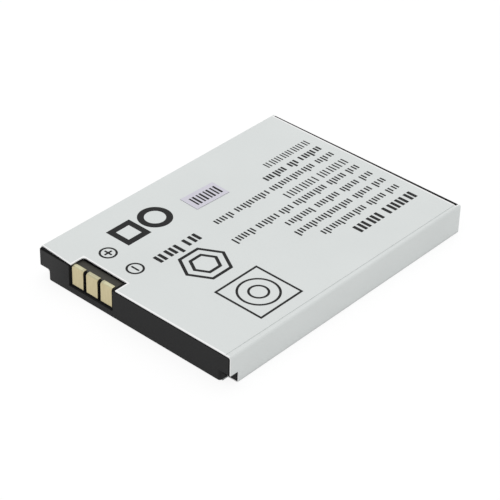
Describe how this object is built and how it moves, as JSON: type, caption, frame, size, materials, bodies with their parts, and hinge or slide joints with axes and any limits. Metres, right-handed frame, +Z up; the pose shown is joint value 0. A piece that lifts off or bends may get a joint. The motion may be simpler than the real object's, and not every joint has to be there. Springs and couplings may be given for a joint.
{
  "type": "cordless phone battery",
  "caption": "Flat rectangular rechargeable pack with a white film wrap, black end caps and gold contacts in a recess at one corner.",
  "frame": {"origin": "middle of the flat underside", "axes": "+Z up out of the printed face, -Y towards the end with the contacts, +X across the pack"},
  "size_m": [0.0346, 0.047, 0.0049],
  "materials": {
    "printed_film": "satin white printed film",
    "sticker_paper": "pale lilac paper",
    "black_plastic": "fine moulded satin",
    "gold_plating": "pale gold plating",
    "board_laminate": "green solder mask",
    "can_aluminium": "drawn, satin",
    "gasket_plastic": "moulded",
    "nickel": "rolled nickel",
    "insulating_paper": "hard fibre paper",
    "cutoff_body": "moulded",
    "chip_resin": "moulded resin",
    "tinned_metal": "tinned",
    "chip_ceramic": "glazed black top",
    "capacitor_ceramic": "fired ceramic",
    "thermistor_ceramic": "fired ceramic",
    "foam_pad": "adhesive foam"
  },
  "bodies": {
    "root": {"label_wrap": "printed_film", "date_sticker": "sticker_paper", "front_cap": "black_plastic", "rear_cap": "black_plastic", "contact_positive": "gold_plating", "contact_sensor": "gold_plating", "contact_negative": "gold_plating", "protection_board": "board_laminate", "cell_can": "can_aluminium", "terminal_gasket": "gasket_plastic", "terminal_rivet": "nickel", "fill_plug": "can_aluminium", "lid_insulator": "insulating_paper", "positive_tab": "nickel", "cutoff_tab": "nickel", "negative_tab": "nickel", "thermal_cutoff": "cutoff_body", "mosfet_body": "chip_resin", "mosfet_leads": "tinned_metal", "controller_body": "chip_resin", "controller_leads": "tinned_metal", "chip_resistors": "chip_ceramic", "chip_capacitors": "capacitor_ceramic", "thermistor": "thermistor_ceramic", "rear_adhesive_pad": "foam_pad"}
  },
  "joints": []
}
